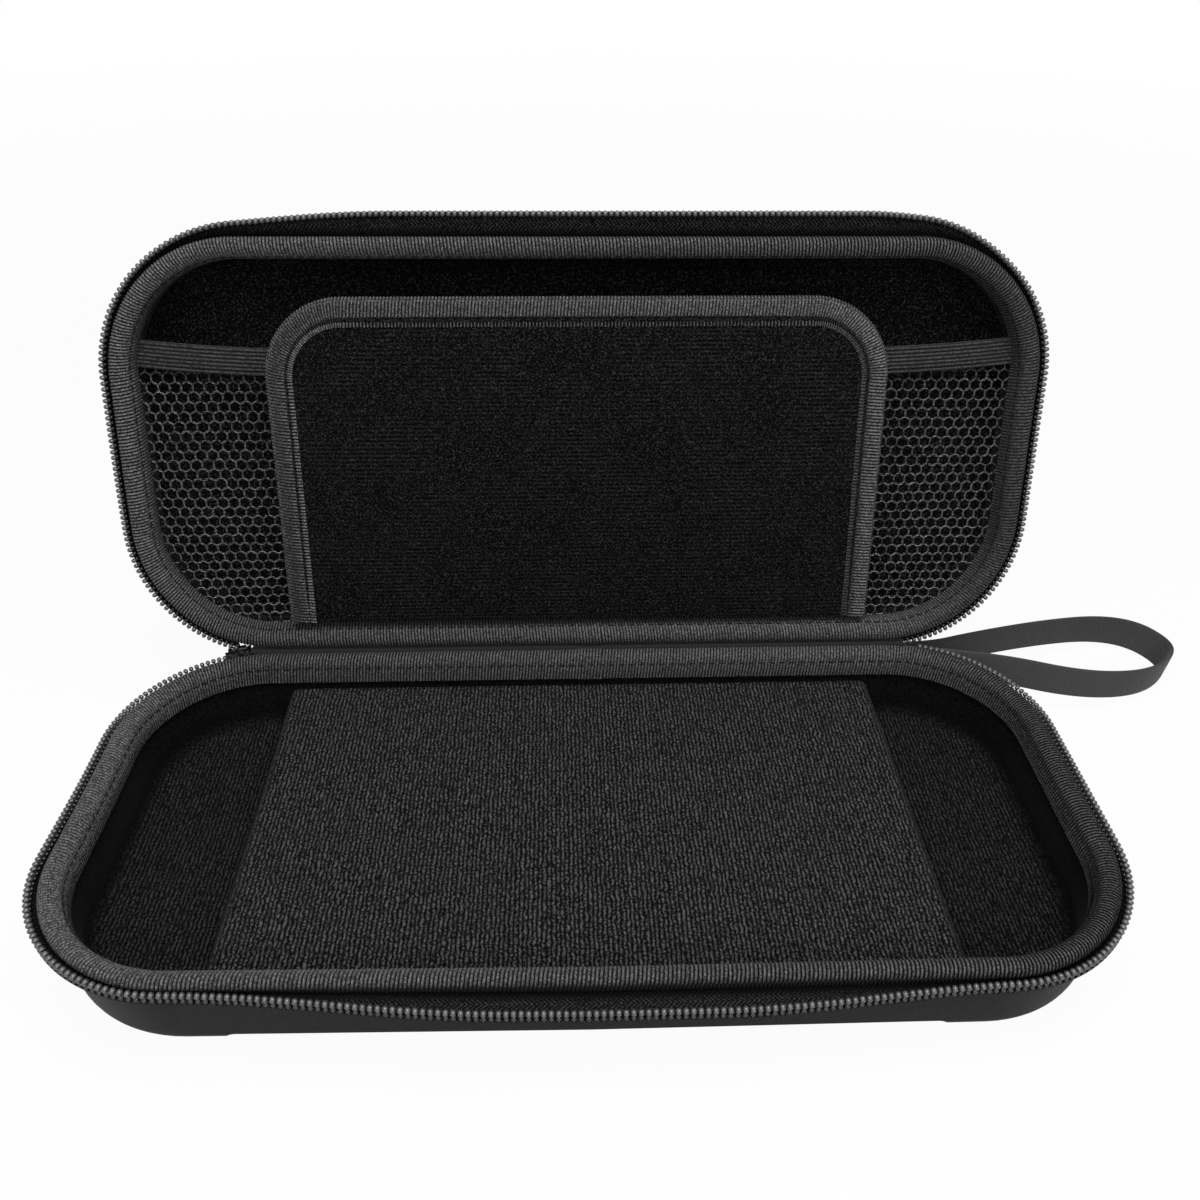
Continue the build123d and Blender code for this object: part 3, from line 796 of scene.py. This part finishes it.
# Painted light and shade on the elastic: its colour is lighter on the crest of each rib and darker in the
# valleys between.
elastic_across = put(tree, "SeparateXYZ", {0: weave_uv}).outputs[1]
elastic_wave = reckon(tree, "SINE", reckon(tree, "MULTIPLY", elastic_across, math.pi / rib_length))
elastic_painted_ridge_shade = reckon(tree, "MULTIPLY", elastic_wave, elastic_wave)
elastic_fuzz = reckon(tree, "MULTIPLY", elastic_threads, flecks(tree, 1700.0, 0.3, 0.7))
elastic_fuzz_and_painted_ridge_shade = reckon(tree, "MULTIPLY", elastic_fuzz, elastic_painted_ridge_shade)
tree.links.new(between(tree, elastic_fuzz_and_painted_ridge_shade, 0.002, 0.2), shader.inputs["Base Color"])
emboss(tree, shader, elastic_threads, 0.0001)

elastic_seats = []
for step in range(141):
    run = elastic_half * (step / 70 - 1)
    elastic_seats.append((run, lid_half @ Matrix.Translation((run, 0, 0))))
elastic_band = woven_strip(elastic_seats, elastic_section)
settle(elastic_band, lid_half, corner_lift["lid"])
elastic = new_piece("pocket_elastic_band", elastic_band, elastic_rubber)
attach(elastic, "lid")
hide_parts("pocket_elastic")

zigzag_seats = []
for number in range(-115, 116):
    run = number * zigzag_pitch
    height = elastic_low + (elastic_high - elastic_low) * zigzag_share - elastic_drop(run)
    lean = Matrix.Rotation(math.radians(42 if number % 2 else -42), 4, "Z")
    zigzag_seats.append(lid_half @ Matrix.Translation((run, height, elastic_front - 0.00005)) @ lean)
zigzag = lay_beads(zigzag_seats, (0.0007, 0.00016, 0.00016))
settle(zigzag, lid_half, corner_lift["lid"])
zigzag_piece = new_piece("elastic_zigzag", zigzag, elastic_rubber)
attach(zigzag_piece, "lid")

# The flap that covers the screen is a thin foam pad faced with short velour.
# It is sewn in under the lid's lower binding, and its face swells a little inside its hem.
flap_width = 0.195
flap_low = 0.0088
flap_top = 0.1146
flap_round = 0.025
flap_front = 0.0022
flap_thick = 0.0048
hem_width = 0.0087
hem_cloth = 0.00055
pad_crown = 0.0011

velour, tree, shader = new_cloth("flap_velour", 1.0, 0.05)
place = put(tree, "TexCoord", {}).outputs["Object"]
velour_height = put(tree, "SeparateXYZ", {0: place}).outputs[2]
velour_row = reckon(tree, "COSINE", reckon(tree, "MULTIPLY", velour_height, 2 * math.pi / 0.0013))
velour_fleck = flecks(tree, 1900.0, 0.5, 0.76)
velour_patch = flecks(tree, 60.0, 0.35, 0.7)
velour_nap = reckon(tree, "MULTIPLY", velour_patch, 0.2)
velour_light = reckon(tree, "MULTIPLY_ADD", velour_row, velour_nap, velour_fleck)
tree.links.new(between(tree, velour_light, 0.001, 0.05), shader.inputs["Base Color"])
emboss(tree, shader, velour_light, 0.0003)

pad = bmesh.new()
bmesh.ops.create_grid(pad, x_segments=96, y_segments=56, size=1.0)
pad_half = flap_width / 2 - hem_cloth - 0.0002
pad_top = flap_top - hem_cloth - 0.0002
for vert in pad.verts:
    share_x, share_v = vert.co.x, vert.co.y
    away = flap_low + (pad_top - flap_low) * (share_v + 1) / 2
    over = min(1.0, max(0.0, (away - pad_top) / flap_round + 1))
    row_half = pad_half - flap_round * (1 - math.sqrt(1 - over**2))
    crown = pad_crown * (1 - share_x**8) * (1 - share_v**8)
    vert.co = (share_x * row_half, away, flap_front + hem_cloth + 0.0002 - crown)
pad_front = list(pad.faces)
pad_back = bmesh.ops.extrude_face_region(pad, geom=pad_front, use_keep_orig=True)
for part in pad_back["geom"]:
    if isinstance(part, bmesh.types.BMVert):
        part.co.z = flap_front + flap_thick - hem_cloth - 0.0002
bmesh.ops.transform(pad, matrix=lid_half, verts=pad.verts)
bmesh.ops.recalc_face_normals(pad, faces=pad.faces)
pad_piece = new_piece("flap_velour_pad", pad, velour)
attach(pad_piece, "flap")
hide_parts("flap_pad")

# The flap's three free edges are hemmed with the same ribbed tape, folded over the pad.
# One row of stitches runs near the inner edge of the hem.
hem_below = 0.06
hem_outline = (flap_width, flap_top + hem_below, flap_round)
hem_start = flap_width / 2 - flap_round + flap_round * math.pi / 2 + flap_low + hem_below - flap_round
hem_end = 2 * (flap_width + flap_top + hem_below) - 8 * flap_round + 2 * math.pi * flap_round - hem_start
hem_stitch = 0.0066
hem_half = lid_half @ Matrix.Translation((0, -hem_below, 0))


def hem_section(run):
    """Tape folded round the edge of the pad, ribbed on its outside, with a sewn furrow in front."""
    rib = rib_relief * math.cos(2 * math.pi * run / rib_pitch)
    bend = flap_thick / 2
    points = [
        (-hem_cloth, flap_front + flap_thick - hem_cloth),
        (-hem_cloth, flap_front + hem_cloth),
        (-hem_width, flap_front + hem_cloth),
    ]
    for step in range(13):
        inset = hem_width - (hem_width - bend) * step / 12
        furrow = 0.0005 * math.exp(-(((inset - hem_stitch) / 0.0006) ** 2))
        points.append((-inset, flap_front - rib + furrow))
    for step in range(1, 8):
        turn = math.pi * step / 8
        outer = bend + rib
        points.append((outer * math.sin(turn) - bend, flap_front + bend - outer * math.cos(turn)))
    points.append((-bend, flap_front + flap_thick))
    points.append((-hem_width, flap_front + flap_thick))
    points.append((-hem_width, flap_front + flap_thick - hem_cloth))
    points.append(points[0])
    return points


hem_seats = rim_seats(hem_half, hem_start, hem_end, rib_pitch / 4, hem_outline)
hem = new_piece("flap_hem_tape", woven_strip(hem_seats, hem_section), binding_tape)
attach(hem, "flap")
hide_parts("flap_binding")

hem_place = Matrix.Translation((0, -hem_stitch, flap_front + 0.00012))
hem_rows = rim_seats(hem_half, hem_start, hem_end, stitch_pitch, hem_outline)
hem_stitches = [seat @ hem_place for run, seat in hem_rows]
hem_sewing = lay_beads(hem_stitches, stitch_half)
hem_stitching = new_piece("flap_hem_stitches", hem_sewing, sewing_thread)
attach(hem_stitching, "flap")

# The slider and its pull tab are black enamelled metal, parked at the left end of the zip.
# The enamel is worn a little thinner in small patches.
enamel = bpy.data.materials.new("slider_enamel")
enamel.use_nodes = True
tree = enamel.node_tree
shader = tree.nodes["Principled BSDF"]
shader.inputs["Metallic"].default_value = 0.6
enamel_wear = flecks(tree, 500.0, 0.45, 0.75)
tree.links.new(between(tree, enamel_wear, 0.015, 0.06), shader.inputs["Base Color"])
tree.links.new(reckon(tree, "MULTIPLY_ADD", enamel_wear, 0.25, 0.28), shader.inputs["Roughness"])
for node in ("zip_slider", "zip_pull"):
    for material_slot in frame["nodes"][node].material_slots:
        material_slot.material = enamel

# A pale table top under soft studio light: a broad lamp overhead, one in front and a white surround.
# The camera sees the surround as plain white, and the table keeps the shadow of the case.
table = bmesh.new()
bmesh.ops.create_circle(table, cap_ends=True, segments=96, radius=4.0)
table_top = bpy.data.materials.new("table_top")
table_top.use_nodes = True
tree = table_top.node_tree
tree.nodes.clear()
light_path = put(tree, "LightPath", {})
seen = reckon(tree, "MAXIMUM", light_path.outputs["Is Camera Ray"], light_path.outputs["Is Glossy Ray"])
table_place = put(tree, "TexCoord", {}).outputs["Object"]
table_reach = put(tree, "VectorMath", {0: table_place}, operation="LENGTH").outputs["Value"]
table_white = put(
    tree, "MapRange", {"Value": table_reach, "From Min": 0.4, "From Max": 1.5, "To Min": 0.95, "To Max": 1.0}
).outputs[0]
seen_share = reckon(tree, "MULTIPLY", seen, table_white)
matt = put(tree, "BsdfDiffuse", {"Color": (0.86, 0.86, 0.86, 1.0)})
glow = put(tree, "Emission", {"Color": (1.0, 1.0, 1.0, 1.0), "Strength": 1.0})
table_mix = put(tree, "MixShader", {0: seen_share, 1: matt.outputs[0], 2: glow.outputs[0]})
put(tree, "OutputMaterial", {"Surface": table_mix.outputs[0]})
table_piece = new_piece("table_top", table, table_top)

world = bpy.data.worlds.new("studio")
world.use_nodes = True
bpy.context.scene.world = world
tree = world.node_tree
tree.nodes.clear()
light_path = put(tree, "LightPath", {})
seen = light_path.outputs["Is Camera Ray"]
for ray in ("Is Glossy Ray", "Is Transmission Ray"):
    seen = reckon(tree, "MAXIMUM", seen, light_path.outputs[ray])
surround_level = reckon(tree, "MULTIPLY_ADD", seen, 0.86, 0.14)
surround = put(tree, "Background", {"Color": (1.0, 1.0, 1.0, 1.0), "Strength": surround_level})
put(tree, "OutputWorld", {"Surface": surround.outputs[0]})

for name, place, dip, width, height, energy in (
    ("overhead", (0.05, -0.12, 0.62), 0.0, 0.6, 0.32, 3.3),
    ("front", (0.0, -0.95, 0.75), 58.0, 0.9, 0.4, 4.6),
):
    lamp_data = bpy.data.lights.new(name, "AREA")
    lamp_data.shape = "RECTANGLE"
    lamp_data.size = width
    lamp_data.size_y = height
    lamp_data.energy = energy
    lamp = bpy.data.objects.new(name, lamp_data)
    lamp.location = place
    lamp.rotation_euler = (math.radians(dip), 0, 0)
    bpy.context.collection.objects.link(lamp)
